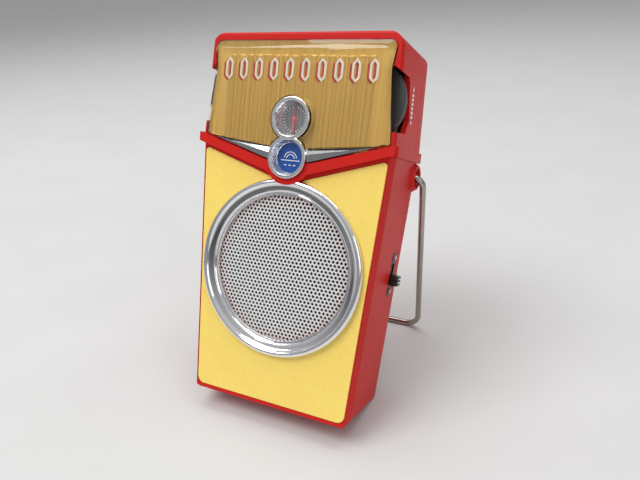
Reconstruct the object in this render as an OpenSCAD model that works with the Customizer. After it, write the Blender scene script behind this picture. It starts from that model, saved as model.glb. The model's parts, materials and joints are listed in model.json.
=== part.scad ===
// Transistor pocket radio, leaning back on its open wire stand.
// The radio is drawn upright: +X to its right as its front is seen, +Y to its back, +Z up,
// with the front rim at Y = 0 and the underside at Z = 0. stand() then leans it back.

/* [Case] */
// Height of the case
case_h = 131; // [130:0.5:134]
// Width of the case at its underside
bottom_w = 63; // [62:0.5:64]
// Width of the case just below the waist band
waist_w = 73.4; // [72.4:0.2:74]
// Width of the case at its top
top_w = 71.2; // [70.6:0.2:72]
// Depth of the case
case_d = 33; // [33:0.5:36]
// Wall thickness of the mouldings
wall = 1.8; // [1.6:0.1:2]
// Depth at which the front and back mouldings part
seam_y = 24.3; // [24.1:0.1:24.8]

/* [Front] */
// Height of the middle of the loudspeaker
speaker_z = 50.5; // [50:0.5:51]
// Radius of the bright ring round the loudspeaker
bezel_r = 31.3; // [30.8:0.1:31.4]
// Radius of the grille that shows
grille_r = 25.6; // [25:0.1:26]
// Height of the middle of the tuning dial
dial_z = 102; // [101.5:0.1:102.5]
// Height of the middle of the badge
badge_z = 89; // [88.7:0.1:89.2]
// Outer radius of the two bright rings
ring_r = 7.2; // [7:0.1:7.4]

/* [Thumbwheels] */
// Radius of a thumbwheel
wheel_r = 13.9; // [13.5:0.1:14.1]
// Distance of a thumbwheel's axis from the middle
wheel_x = 23; // [22.6:0.1:23.2]
// Height of a thumbwheel's axis
wheel_z = 109.7; // [109.4:0.1:110]
// Thickness of a thumbwheel
wheel_t = 2.8; // [2.4:0.1:3]

/* [Stand] */
// Angle that the radio leans back on its stand
lean = 22; // [21:0.5:25]
// Radius of the stand's wire
wire_r = 1.2; // [1:0.05:1.2]
// Length of the stand from its hinge to its foot
bail_len = 79.8; // [79:0.2:81]
// Half width of the stand at its hinge
bail_x = 39.8; // [39.4:0.1:40.2]
// Half width of the stand at its foot
foot_x = 34; // [33.5:0.1:35]

/* [Battery door] */
// Width of the battery door
door_w = 54; // [52:0.5:55]
// Height of the battery door
door_h = 32; // [31:0.5:33]

/* [Hidden] */
$fn = 48;

red = "firebrick";
chrome = "gainsboro";
gap = 0.3;                              // clear space between pieces that move apart
waist_z = 93.9;                         // middle of the waist band
band_h = 3.4;
band_x = 37.7;                          // half width over the waist band
band_back = 32.4;                        // how far back the band runs
ridge_y = -1.7;                         // front of the band's front ridge
lobe_r = ring_r + 2;
taper = atan((waist_w - bottom_w) / 2 / waist_z);
heel_r = 13;                            // rounding of the bottom back edge
crown_r = 6;                            // rounding of the top back edge
rim_r = 0.9;                            // rounding of the front rim's top and bottom edges

panel_t = 1.2;
panel_y = 0.25;                         // front of the yellow panel, just inside the rim
body_wall_y = panel_y + panel_t;        // front face of the wall behind the panel
body_wall_t = 1.7;
rim = 2.2;                              // width of the red rim round the panel

cover_y = -2.2;                         // front of the clear cover
cover_t = 2.8;
cover_top = case_h - 2.9;
plate_y = 0.9;                          // front of the gold plate
plate_t = 0.8;
badge_y = 0.4;                          // front of the badge, at the bottom of its ring
head_wall_t = 1.3;
head_wall_y = plate_y + plate_t;
flutes = 16;
flute_pitch = 3.6;

wheel_y = 4.2;                          // front of the thumbwheels
shaft_r = 1.5;
run_fit = 0.05;                         // radial clearance of a turning shaft
pulley_y = 8.6;
pulley_t = 1.6;
groove_r = 5.2;
cord_s = 0.6;
board_y = 16.2;
board_t = 1.6;
post_holes = [[0, 116.5], [-28, 84.5], [28, 84.5]];
case_holes = [[0, 125.4], [-25, 8.5], [25, 8.5]];

pivot_y = 27.8;
pivot_z = 87;
seat_r = 4.9;                           // the bosses round the ends of the stand
seat_out = 1.4;
door_z = 31.75;                         // height of the middle of the battery door
cell_r = 7.1;
cell_len = 49;
cell_y = 23;
cell_z = [24, 39.5];
switch_y = 21.2;
switch_z = 51.8;
switch_travel = 3.2;
jack_y = 18.6;
jack_z = 60;
jack_r = 1.75;
jack_len = 14;

// The radio stands on its rounded bottom back edge and on the foot of the stand.
heel_y = case_d - heel_r;
rest_z = heel_r * cos(lean) - heel_y * sin(lean) - heel_r;
open_angle = lean + acos((pivot_z * cos(lean) - pivot_y * sin(lean) - wire_r - rest_z) / bail_len);
foot_reach = (pivot_y + bail_len * sin(open_angle)) * cos(lean)
    + (pivot_z - bail_len * cos(open_angle)) * sin(lean) + wire_r;
crown_reach = (case_d - crown_r) * cos(lean) + (case_h - crown_r) * sin(lean) + crown_r;
front_reach = rim_r * (cos(lean) + sin(lean) - 1);
module stand() translate([0, -(max(foot_reach, crown_reach) + front_reach) / 2, -rest_z])
    rotate([-lean, 0, 0]) children();

function side_x(z) = z < waist_z
    ? (bottom_w + (waist_w - bottom_w) * z / waist_z) / 2
    : (waist_w + (top_w - waist_w) * (z - waist_z) / (case_h - waist_z)) / 2;
function unit(v) = v / norm(v);
// Points of the arc of radius r that rounds corner b between a and c
function corner(a, b, c, r, steps = 8) =
    let (u = unit(a - b), v = unit(c - b), half = acos(u * v) / 2,
         mid = b + unit(u + v) * r / sin(half),
         p = b + u * r / tan(half) - mid, q = b + v * r / tan(half) - mid,
         start = atan2(p[1], p[0]), full = atan2(q[1], q[0]) - start,
         turn = full > 180 ? full - 360 : full < -180 ? full + 360 : full)
    [for (i = [0:steps]) mid + r * [cos(start + turn * i / steps), sin(start + turn * i / steps)]];
module rounded(points, radii) {
    last = len(points);
    polygon([for (i = [0:last - 1])
        each (radii[i] == 0 ? [points[i]]
            : corner(points[(i + last - 1) % last], points[i], points[(i + 1) % last], radii[i]))]);
}
// An outline in X and Z, made solid from depth y0 to y1
module slab(y0, y1) translate([0, y1, 0]) rotate([90, 0, 0]) linear_extrude(y1 - y0) children();
// An outline in Y and Z, made solid across the width
module across(w) rotate([90, 0, 90]) linear_extrude(w, center = true) children();
// A round bar along Y
module rod(r, y0, y1, x = 0, z = 0) translate([x, y1, z]) rotate([90, 0, 0]) cylinder(h = y1 - y0, r = r);
// Something drawn at the right side's surface, +X outward and +Z along the side
module on_side(y, z) translate([side_x(z), y, z]) rotate([0, taper, 0]) children();
module both_sides() {
    children();
    mirror([1, 0, 0]) children();
}
module block(x0, x1, y0, y1, z0, z1) translate([x0, y0, z0]) cube([x1 - x0, y1 - y0, z1 - z0]);

module case_outline(inset) {
    top = case_h - inset;
    rounded([[side_x(0) - inset, inset], [side_x(waist_z) - inset, waist_z],
             [side_x(case_h) - inset, top], [inset - side_x(case_h), top],
             [inset - side_x(waist_z), waist_z], [inset - side_x(0), inset]],
        [4, 0, 5.5, 5.5, 0, 4]);
}
// Keeps what lies inside the two sides, with their front edges chamfered and their back edges rounded
module between_sides(x0, z0, angle, inset, chamfer, round_r) intersection_for (s = [0, 1]) mirror([s, 0, 0])
    translate([x0, 0, z0]) rotate([0, angle, 0]) translate([0, 0, -180]) linear_extrude(360)
        rounded([[-90, 0], [-chamfer[0] - inset, 0], [-inset, chamfer[1]], [-inset, case_d - inset], [-90, case_d - inset]],
            [0, 0.4, 2, round_r - inset, 0]);
module case_profile(inset, front) {
    back = case_d - inset;
    rounded([[front, inset], [back, inset], [back, case_h - inset], [front, case_h - inset]],
        [inset > 0 ? 0 : rim_r, heel_r - inset, crown_r - inset, inset > 0 ? 0 : rim_r]);
}
module case_body(inset, front) {
    intersection() {
        slab(front, case_d) case_outline(inset);
        across(100) case_profile(inset, front);
        between_sides(side_x(0), 0, taper, inset, [1.1, 3.3], 5.5);
        block(-50, 50, -1, case_d + 1, -1, waist_z);
    }
    intersection() {
        slab(front, case_d) case_outline(inset);
        across(100) case_profile(inset, front);
        between_sides(side_x(case_h), case_h, -atan((waist_w - top_w) / 2 / (case_h - waist_z)), inset, [0.7, 1.2], 3.5);
        block(-50, 50, -1, case_d + 1, waist_z, case_h + 1);
    }
}
module waist_band() translate([0, 0, waist_z - band_h / 2]) linear_extrude(band_h)
    rounded([[-band_x, 0.4], [band_x, 0.4], [band_x, band_back], [-band_x, band_back]], [1, 1, 3.5, 3.5]);

// Front outlines: the band's V, the yellow panel below it and the cover above it
module ridge_outline() difference() {
    for (s = [-1, 1]) polygon([[s * 0.5, 81.6], [s * 7.2, 83.6], [s * 36.9, waist_z - 1.5],
                               [s * 36.9, waist_z + 1.7], [s * 7.7, 87.4], [s * 0.5, 85.2]]);
    translate([0, badge_z]) circle(r = ring_r - 1);
}
// The ridge's round lobe, which carries the lower ring
module lobe_outline(grow) difference() {
    intersection() {
        translate([0, badge_z]) circle(r = lobe_r + grow);
        translate([-20, 70]) square([40, badge_z - 1.4 - 70]);
    }
    translate([0, badge_z]) circle(r = ring_r - 1);
}
module panel_outline(grow) difference() {
    low = side_x(1.7) - 1.5;
    high = side_x(91) - 1.5;
    rounded([[-low - grow, 1.7 - grow], [low + grow, 1.7 - grow], [high + grow, 90.6 + grow],
             [6.4, 81.9 + grow], [-6.4, 81.9 + grow], [-high - grow, 90.6 + grow]],
        [2.8, 2.8, 1.2, 0, 0, 1.2]);
    translate([0, badge_z]) circle(r = ring_r + 2.3 - grow);
}
module cover_outline(grow) rounded(
    [[0, 85.6 - grow], [35.1 + grow, waist_z + 1.8 - grow], [32.8 + grow, 119], [34 + grow, cover_top + grow],
     [-34 - grow, cover_top + grow], [-32.8 - grow, 119], [-35.1 - grow, waist_z + 1.8 - grow]],
    [0, 0.5, 2, 2.5, 2.5, 2, 0.5]);
module wheel_notch() {
    translate([22.5, 0, 0]) rotate([90, 0, 90]) linear_extrude(20)
        polygon([[-3, 99.6], [9.5, 100.4], [13, 105], [9.8, 117.6], [-3, 118.5]]);
    slab(-3, 9.2) polygon([[22.5, 112], [22.5, 120.8], [32.9, 120.7], [37, 117.8], [37, 112]]);
}

module front_case() stand() color(red) difference() {
    union() {
        difference() {
            intersection() {
                union() {
                    case_body(0, 0);
                    waist_band();
                }
                block(-50, 50, -5, seam_y - 0.05, -5, case_h + 5);
            }
            case_body(wall, body_wall_y + body_wall_t);
            slab(-1, body_wall_y) panel_outline(0.2);
            slab(-1, head_wall_y) cover_outline(0.2);
        }
        slab(ridge_y, head_wall_y + 0.5) ridge_outline();
        slab(ridge_y, head_wall_y + 0.5) lobe_outline(0);
        for (p = post_holes) rod(2.2, 2, board_y, p[0], p[1]);
        for (p = case_holes) rod(2.9, 2, seam_y - 0.4, p[0], p[1]);
        both_sides() intersection() {
            bail_boss();
            block(0, 50, 0, seam_y - 0.05, 70, 91);
        }
    }
    for (p = post_holes) rod(0.8, 8, board_y + 1, p[0], p[1]);
    for (p = case_holes) rod(1.1, 10, seam_y + 1, p[0], p[1]);
    both_sides() wheel_notch();
    both_sides() bail_seat();
    rod(bezel_r - 4.7, -1, 9, 0, speaker_z);
    rod(1.3, -2, 9, 0, dial_z);
    rod(ring_r - 1, -3, head_wall_y + 0.2, 0, badge_z);
    on_side(switch_y, switch_z) {
        translate([-0.7, -2.1, -7.85]) cube([3, 4.2, 15.7]);
        translate([-9, -1.3, -4.1]) cube([12, 2.6, 8.2]);
        for (s = [-1, 1]) translate([-3, 0, s * 6.2]) rotate([0, 90, 0]) cylinder(h = 4, r = 0.5);
    }
    translate([-28, jack_y, jack_z]) rotate([0, -90, 0]) cylinder(h = 12, r = 3);
}
// Boss round one end of the stand's wire, flared where it leaves the side
module bail_boss() translate([28, pivot_y, pivot_z]) rotate([0, 90, 0]) union() {
    cylinder(h = side_x(pivot_z) - 28, r = seat_r);
    translate([0, 0, side_x(pivot_z) - 28.5]) cylinder(h = seat_out + 0.5, r1 = seat_r + 0.6, r2 = seat_r - 0.7);
}
// Cone-mouthed seat for one end of the stand's wire
module bail_seat() translate([side_x(pivot_z), pivot_y, pivot_z]) rotate([0, 90, 0]) {
    translate([0, 0, -2.2]) cylinder(h = seat_out + 2.3, r1 = 2.3, r2 = 3.6);
    translate([0, 0, -12]) cylinder(h = 12, r = 2.2);
}

module back_case() stand() color(red) difference() {
    union() {
        difference() {
            intersection() {
                union() {
                    case_body(0, 0);
                    waist_band();
                }
                block(-50, 50, seam_y + 0.05, case_d + 1, -5, case_h + 5);
            }
            case_body(wall, 2);
        }
        for (p = case_holes) rod(2.9, seam_y + 0.05, case_d - 1.5, p[0], p[1]);
        both_sides() intersection() {
            bail_boss();
            block(0, 50, seam_y + 0.05, case_d, 70, 91.9);
        }
    }
    for (p = case_holes) {
        rod(1.3, seam_y - 1, case_d + 1, p[0], p[1]);
        rod(2.4, case_d - 3, case_d + 1, p[0], p[1]);
    }
    both_sides() bail_seat();
    slab(case_d - wall - 3, case_d + 1) rounded(door_corners(gap), [2, 2, 2, 2]);
}
function door_corners(grow) = let (w = door_w / 2 + grow, h = door_h / 2 + grow)
    [[-w, door_z - h], [w, door_z - h], [w, door_z + h], [-w, door_z + h]];

module front_panel() stand() color("khaki") difference() {
    slab(panel_y, body_wall_y) panel_outline(0);
    rod(bezel_r - 1.5, -1, 5, 0, speaker_z);
}

module speaker_bezel() stand() color(chrome) difference() {
    translate([0, 0, speaker_z]) rotate([90, 0, 0]) rotate_extrude($fn = 96)
        polygon([[bezel_r - 1.7, -body_wall_y], [bezel_r - 1.7, -0.15], [bezel_r, -0.15], [bezel_r, 0.7],
             [bezel_r - 0.6, 1.6], [bezel_r - 1.5, 1.8], [bezel_r - 2.3, 1.3], [grille_r + 1.6, -0.5],
             [grille_r + 1.2, -0.1], [grille_r + 0.6, -0.1], [grille_r, -0.7], [grille_r, -1.15],
             [bezel_r - 4.9, -1.15], [bezel_r - 4.9, -body_wall_y]]);
    rod(lobe_r + 0.1, -5, 5, 0, badge_z);
}

module speaker_grille() stand() color("silver") union() {
    rod(grille_r + 0.7, 1.25, 1.85, 0, speaker_z);
    difference() {
        rod(grille_r + 0.7, 1.85, body_wall_y + body_wall_t - 0.1, 0, speaker_z);
        rod(grille_r - 0.6, 1, 9, 0, speaker_z);
    }
}

speaker_y = body_wall_y + body_wall_t + 0.1;
module speaker_frame() stand() color("dimgray") translate([0, speaker_y, speaker_z]) rotate([-90, 0, 0])
    rotate_extrude($fn = 96) polygon([[25.2, 0], [28.5, 0], [28.5, 1.2], [26, 1.2], [15, 7.2], [15, 7.9],
                                      [6, 7.9], [6, 7], [14, 7], [14, 6.4], [25.2, 0.6]]);
module speaker_cone() stand() color("black") translate([0, speaker_y, speaker_z]) rotate([-90, 0, 0])
    rotate_extrude($fn = 96) polygon([[0, 4.2], [3, 3.9], [5.2, 5.2], [13.4, 4.6], [24.8, 0], [25, 0.3],
                                      [13.6, 5.3], [5.2, 6.2], [0, 5]]);
module speaker_magnet() stand() color("gray") union() {
    rod(13.5, speaker_y + 8, speaker_y + 11.4, 0, speaker_z);
    rod(5, speaker_y + 6.6, speaker_y + 8, 0, speaker_z);
}

module gold_plate() stand() color("goldenrod") difference() {
    union() {
        slab(plate_y, plate_y + plate_t) cover_outline(0);
        difference() {
            intersection() {
                for (i = [0:flutes - 1]) translate([(i - (flutes - 1) / 2) * flute_pitch, plate_y + 0.9, 90])
                    cylinder(h = case_h - 7 - 90, r = 1.2, $fn = 24);
                slab(plate_y - 0.25, plate_y + 0.4) cover_outline(-0.8);
            }
            rod(ring_r + 0.1, -2, plate_y, 0, dial_z);
            rod(ring_r + 0.1, -2, plate_y, 0, badge_z);
            slab(-5, plate_y) wing_outline(0.15);
        }
    }
    rod(ring_r - 0.9, -2, 4, 0, dial_z);
    rod(ring_r - 0.9, -2, 4, 0, badge_z);
}

module clear_cover() stand() color("lightyellow", 0.4) difference() {
    union() {
        slab(cover_y + 1.1, cover_y + cover_t - 0.2) cover_outline(0);
        slab(cover_y + 0.5, cover_y + 1.1) cover_outline(-0.9);
        slab(cover_y, cover_y + 0.5) cover_outline(-1.8);
    }
    rod(ring_r + 0.1, -5, 4, 0, dial_z);
    rod(ring_r + 0.1, -5, 4, 0, badge_z);
    slab(-5, 0.1) wing_outline(0.15);
    slab(-5, 4) below_cover();
}
// What the band's ridge takes from the bottom of the cover
module below_cover() {
    for (s = [-1, 1])
        polygon([[0, 80], [s * 38, 80], [s * 38, waist_z + 2], [s * 36.9, waist_z + 1.9], [s * 7.7, 87.6], [0, 85]]);
    translate([-10, 80]) square([20, 7.7]);
}

module cover_ornaments() stand() color("white")
    for (i = [0:9]) slab(cover_y - 0.25, cover_y) translate([(i - 4.5) * 6, 118.4]) difference() {
        ornament(i % 2 == 0 ? 1.5 : 1.1);
        ornament(i % 2 == 0 ? 0.6 : 0.3);
    }
module ornament(r) union() {
    translate([-r, -2.6]) square([2 * r, 5.2]);
    for (s = [-1, 1]) translate([0, s * 2.6]) circle(r = r, $fn = 24);
}

module wing_outline(grow) for (s = [-1, 1])
    polygon([[s * 5, 92.2 + grow], [s * 7, 92.4 + grow], [s * (31 + grow), 94.9 + grow],
             [s * (31 + grow), 94.4 - grow], [s * 7.3, 87.7 - grow], [s * 5, 87.4 - grow]]);
module ring_trim() stand() color(chrome) difference() {
    union() {
        rod(ring_r, -3, plate_y - 0.05, 0, dial_z);
        rod(ring_r, -3, ridge_y - 0.05, 0, badge_z);
        rod(ring_r - 1.25, ridge_y - 0.1, head_wall_y - 0.1, 0, badge_z);
        slab(-1.9, -0.1) wing_outline(0);
    }
    well(dial_z, plate_y);
    well(badge_z, badge_y);
    rod(ring_r - 1.9, badge_y - 0.01, 4, 0, badge_z);
}
// The rings' bright walls narrow towards the dial and the badge
module well(z, deep) translate([0, -3.01, z]) rotate([-90, 0, 0])
    cylinder(h = deep + 3.01, r1 = ring_r - 1.2, r2 = ring_r - 2.5);
module dial_face() stand() color("silver") difference() {
    rod(ring_r - 1, plate_y, head_wall_y, 0, dial_z);
    rod(1.3, -2, 4, 0, dial_z);
}
module dial_lens() stand() color("white", 0.3) rod(ring_r - 1.95, -1.7, -1.2, 0, dial_z);
module badge_disc() stand() color("royalblue") rod(ring_r - 1.95, badge_y, 1.4, 0, badge_z);

module dial_pointer() stand() color("crimson") union() {
    block(-0.35, 0.35, 0.15, 0.55, dial_z - 4.4, dial_z + 4.4);
    rod(1, -0.1, 0.8, 0, dial_z);
}
module grooved_wheel(x, z) translate([x, pulley_y, z]) rotate([-90, 0, 0]) rotate_extrude()
    polygon([[0, 0], [6.4, 0], [6.4, 0.25], [groove_r, 0.4], [groove_r, pulley_t - 0.4],
             [6.4, pulley_t - 0.25], [6.4, pulley_t], [0, pulley_t]]);
module pointer_pulley() stand() color("tan") union() {
    rod(1, 0.8, pulley_y + 0.2, 0, dial_z);
    grooved_wheel(0, dial_z);
}
module dial_cord() stand() color("khaki") {
    reach = norm([wheel_x, wheel_z - dial_z]);
    loop_r = groove_r + 0.15;
    translate([0, pulley_y + pulley_t / 2, dial_z]) rotate([0, -atan2(wheel_z - dial_z, wheel_x), 0])
        rotate([90, 0, 0]) translate([0, 0, -cord_s / 2]) linear_extrude(cord_s) difference() {
            union() {
                circle(r = loop_r + cord_s);
                translate([reach, 0]) circle(r = loop_r + cord_s);
                translate([0, -loop_r - cord_s]) square([reach, 2 * (loop_r + cord_s)]);
            }
            circle(r = loop_r);
            translate([reach, 0]) circle(r = loop_r);
            translate([0, -loop_r]) square([reach, 2 * loop_r]);
        }
}

module thumbwheel(x) translate([x, wheel_y, wheel_z]) rotate([-90, 0, 0]) difference() {
    rotate_extrude($fn = 96) polygon([[0, 0], [wheel_r - 0.5, 0], [wheel_r, 0.5], [wheel_r, wheel_t - 0.5],
                                      [wheel_r - 0.5, wheel_t], [4, wheel_t], [4, wheel_t + 1.2], [0, wheel_t + 1.2]]);
    translate([0, 0, -1]) cylinder(h = 9, r = shaft_r);
}
module wheel_screw(x) union() {
    difference() {
        rod(2.4, wheel_y - 0.8, wheel_y, x, wheel_z);
        block(x - 3, x + 3, wheel_y - 1, wheel_y - 0.5, wheel_z - 0.3, wheel_z + 0.3);
    }
    rod(0.8, wheel_y, wheel_y + 3, x, wheel_z);
}
module shaft(x, y1) difference() {
    rod(shaft_r, wheel_y, y1, x, wheel_z);
    rod(0.8, wheel_y - 1, wheel_y + 3.2, x, wheel_z);
}
module tuning_wheel() stand() color("dimgray") thumbwheel(wheel_x);
module volume_wheel() stand() color("dimgray") thumbwheel(-wheel_x);
module tuning_screw() stand() color(chrome) wheel_screw(wheel_x);
module volume_screw() stand() color(chrome) wheel_screw(-wheel_x);
module tuning_pulley() stand() color("tan") union() {
    shaft(wheel_x, 13.5);
    grooved_wheel(wheel_x, wheel_z);
}
module volume_shaft() stand() color("silver") shaft(-wheel_x, 13.5);
module tuning_capacitor() stand() color("ivory") difference() {
    block(wheel_x - 10, wheel_x + 9, pulley_y + pulley_t + 0.4, board_y, wheel_z - 10, wheel_z + 10);
    rod(shaft_r + run_fit, 5, 13.7, wheel_x, wheel_z);
}
module volume_control() stand() color("saddlebrown") difference() {
    union() {
        rod(8, 10.6, board_y, -wheel_x, wheel_z);
        rod(3, 8.6, 10.6, -wheel_x, wheel_z);
    }
    rod(shaft_r + run_fit, 5, 13.7, -wheel_x, wheel_z);
}

module circuit_board() stand() color("darkgoldenrod") difference() {
    block(-31, 31, board_y, board_y + board_t, 81, 121);
    for (p = post_holes) rod(0.95, board_y - 1, board_y + 3, p[0], p[1]);
}
module board_screws() stand() color("silver") for (p = post_holes) {
    rod(0.75, board_y - 4, board_y + board_t, p[0], p[1]);
    rod(1.6, board_y + board_t, board_y + board_t + 1.1, p[0], p[1]);
}
board_back = board_y + board_t;
module if_transformers() stand() color("silver")
    for (x = [-20, -9, 2, 13]) block(x - 3.5, x + 3.5, board_back, board_back + 9, 88, 95);
module transistors() stand() color("black")
    for (i = [0:5]) rod(2.3, board_back, board_back + 5.5, -21 + 7.4 * i, 101);
module electrolytics() stand() color("steelblue")
    for (p = [[-15, 107.6], [-5, 108], [8, 107.6], [19, 108]]) rod(2.9, board_back, board_back + 3.2, p[0], p[1]);
module output_transformer() stand() color("peru") block(17.5, 26.5, board_back, board_back + 8.5, 89, 97);
module ferrite_rod() stand() color("dimgray")
    translate([-28, 26, 116]) rotate([0, 90, 0]) cylinder(h = 56, r = 4);
module aerial_coil() stand() color("peru") translate([8, 26, 116]) rotate([0, 90, 0]) difference() {
    cylinder(h = 14, r = 4.7);
    translate([0, 0, -1]) cylinder(h = 16, r = 4.05);
}
module rod_clips() stand() color("ivory") for (x = [-20, -8]) difference() {
    block(x - 1.5, x + 1.5, board_back, 26, 111, 119.8);
    translate([x - 3, 26, 116]) rotate([0, 90, 0]) cylinder(h = 6, r = 4.05);
}

module battery_cells() stand() color("darkslategray") for (i = [0, 1])
    translate([0, cell_y, cell_z[i]]) mirror([i, 0, 0]) rotate([0, 90, 0]) union() {
        translate([0, 0, -cell_len / 2]) cylinder(h = cell_len, r = cell_r);
        translate([0, 0, cell_len / 2]) cylinder(h = 1.2, r = 2.7);
    }
module battery_contacts() stand() color("gold") both_sides()
    block(cell_len / 2 + 1.3, cell_len / 2 + 1.8, cell_y - 6, cell_y + 6, 18, 45.5);
module battery_door() stand() color(red) union() {
    slab(case_d - wall, case_d) rounded(door_corners(0), [2, 2, 2, 2]);
    for (x = [-16, 0, 16]) block(x - 3, x + 3, case_d, case_d + 0.5, door_z + 9, door_z + 9.8);
}

module switch_body() stand() color("black") on_side(switch_y, switch_z)
    block(-5.6, -2.2, -2.6, 2.6, -6.6, 6.6);
module switch_plate() stand() color("black") on_side(switch_y, switch_z) difference() {
    block(-0.6, 0.1, -2, 2, -7.75, 7.75);
    block(-2, 2, -1.2, 1.2, -4, 4);
    for (s = [-1, 1]) translate([-3, 0, s * 6.2]) rotate([0, 90, 0]) cylinder(h = 5, r = 0.5);
}
module switch_rivets() stand() color(chrome) on_side(switch_y, switch_z) for (s = [-1, 1]) union() {
    translate([-1.9, 0, s * 6.2]) rotate([0, 90, 0]) cylinder(h = 2, r = 0.45);
    translate([0.1, 0, s * 6.2]) rotate([0, 90, 0]) cylinder(h = 0.5, r = 0.9);
}
module switch_knob() stand() color("black") on_side(switch_y, switch_z) union() {
    block(-2, 0.5, -0.9, 0.9, -3.4, -0.4);
    block(0.5, 2, -1.9, 1.9, -3.8, 0);
    for (z = [-3.6, -2.3, -1]) block(2, 3.2, -1.9, 1.9, z, z + 0.7);
}

module earphone_jack() stand() color("silver") translate([-side_x(jack_z) - 0.6, jack_y, jack_z]) rotate([0, 90, 0])
    difference() {
        union() {
            cylinder(h = jack_len + 1.5, r = 2.8);
            translate([0, 0, 3]) cylinder(h = jack_len - 1.5, r = 4);
        }
        translate([0, 0, -1]) cylinder(h = jack_len + 1, r = jack_r);
    }

// The stand is one bent wire, swept along a path in its own plane, with a turned pin at each end
pin_r = wire_r - 0.05;
pin_x = 28.8;                           // inner end of a pin
pin_out = 35.2;                         // where the pin runs on into the swept wire
bail_side = concat([[pin_out, 0]],
    corner([pin_out, 0], [bail_x, 0], [foot_x, -bail_len], 2.6),
    corner([bail_x, 0], [foot_x, -bail_len], [0, -bail_len], 6));
bail_path = concat(bail_side, [for (i = [len(bail_side) - 1:-1:0]) [-bail_side[i][0], bail_side[i][1]]]);
module sweep(path, r, sides = 24) {
    last = len(path) - 1;
    dirs = [for (i = [0:last]) unit((i < last ? unit(path[i + 1] - path[i]) : [0, 0])
                                    + (i > 0 ? unit(path[i] - path[i - 1]) : [0, 0]))];
    points = [for (i = [0:last], k = [0:sides - 1]) let (t = 360 * k / sides)
        [path[i][0] - dirs[i][1] * r * cos(t), r * sin(t), path[i][1] + dirs[i][0] * r * cos(t)]];
    walls = [for (i = [0:last - 1], k = [0:sides - 1]) let (n = (k + 1) % sides)
        [i * sides + k, i * sides + n, (i + 1) * sides + n, (i + 1) * sides + k]];
    polyhedron(points, concat(walls, [[for (k = [sides - 1:-1:0]) k]],
                              [[for (k = [0:sides - 1]) last * sides + k]]));
}
module bail() stand() color("darkgray") translate([0, pivot_y, pivot_z]) rotate([open_angle, 0, 0]) union() {
    sweep(bail_path, wire_r);
    both_sides() translate([pin_x, 0, 0]) rotate([0, 90, 0]) cylinder(h = pin_out + 1 - pin_x, r = pin_r);
}
module bail_bushes() stand() color("silver") both_sides()
    translate([30, pivot_y, pivot_z]) rotate([0, 90, 0]) difference() {
        cylinder(h = side_x(pivot_z) - 2.3 - 30, r = 2.15);
        translate([0, 0, -1]) cylinder(h = 9, r = pin_r + run_fit);
    }
module case_screws() stand() color("silver") for (p = case_holes) difference() {
    union() {
        rod(1.05, 14, case_d - 3, p[0], p[1]);
        rod(2.2, case_d - 3, case_d - 1.7, p[0], p[1]);
    }
    block(p[0] - 3, p[0] + 3, case_d - 2.2, case_d, p[1] - 0.3, p[1] + 0.3);
}

front_case();
back_case();
front_panel();
speaker_bezel();
speaker_grille();
speaker_frame();
speaker_cone();
speaker_magnet();
gold_plate();
clear_cover();
cover_ornaments();
ring_trim();
dial_face();
dial_lens();
badge_disc();
dial_pointer();
pointer_pulley();
dial_cord();
tuning_wheel();
tuning_pulley();
tuning_screw();
tuning_capacitor();
volume_wheel();
volume_shaft();
volume_screw();
volume_control();
circuit_board();
board_screws();
if_transformers();
transistors();
electrolytics();
ferrite_rod();
aerial_coil();
rod_clips();
output_transformer();
battery_cells();
battery_contacts();
battery_door();
switch_body();
switch_plate();
switch_rivets();
switch_knob();
earphone_jack();
bail();
bail_bushes();
case_screws();
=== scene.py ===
import json
import math
import bmesh
import bpy
from mathutils import Matrix, Vector


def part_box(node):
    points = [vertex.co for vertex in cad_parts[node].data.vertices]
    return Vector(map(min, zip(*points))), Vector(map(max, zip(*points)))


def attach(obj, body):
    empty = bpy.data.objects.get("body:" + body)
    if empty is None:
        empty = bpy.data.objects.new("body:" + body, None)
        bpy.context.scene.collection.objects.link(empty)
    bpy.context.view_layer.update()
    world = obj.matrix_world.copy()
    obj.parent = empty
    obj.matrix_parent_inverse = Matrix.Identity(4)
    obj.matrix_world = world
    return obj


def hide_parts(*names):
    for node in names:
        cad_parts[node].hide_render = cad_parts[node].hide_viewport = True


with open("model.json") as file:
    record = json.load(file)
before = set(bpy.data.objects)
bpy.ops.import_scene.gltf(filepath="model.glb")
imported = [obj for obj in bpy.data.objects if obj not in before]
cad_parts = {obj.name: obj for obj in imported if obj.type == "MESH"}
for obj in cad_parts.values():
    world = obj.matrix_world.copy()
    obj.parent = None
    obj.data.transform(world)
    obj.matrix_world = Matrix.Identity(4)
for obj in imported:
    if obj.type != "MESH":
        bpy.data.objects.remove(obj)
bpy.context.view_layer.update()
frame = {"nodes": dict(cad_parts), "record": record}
print("frame loaded")

# The radio leans back on its stand. Pieces are drawn upright, in millimetres (X right, Y back, Z up,
# front rim at Y = 0), and tilt puts them where the frame has the radio.
record = frame["record"]
joints = {joint["name"]: joint for joint in record["behaviour"]["joints"]}
mounts = {mount["name"]: mount for mount in record["mounts"]}
xAxis = Vector((1, 0, 0))
yAxis = Vector(joints["tuning_spin"]["axis"]).normalized()
zAxis = xAxis.cross(yAxis)
undersideDepth = 12                      # how far back the underside's mount point is
origin = Vector(mounts["case_underside"]["pos_m"]) - yAxis * undersideDepth / 1000
tilt = Matrix.Translation(origin) @ Matrix((xAxis, yAxis, zAxis)).transposed().to_4x4()
fromMm = tilt @ Matrix.Scale(0.001, 4)
lean = math.atan2(-yAxis.z, yAxis.y)


def toUpright(point):                    # a frame point, in upright millimetres
    return fromMm.inverted() @ Vector(point)


def toPlace(x, y, z):                    # an upright point, in the frame's metres
    return fromMm @ Vector((x, y, z))


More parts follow.
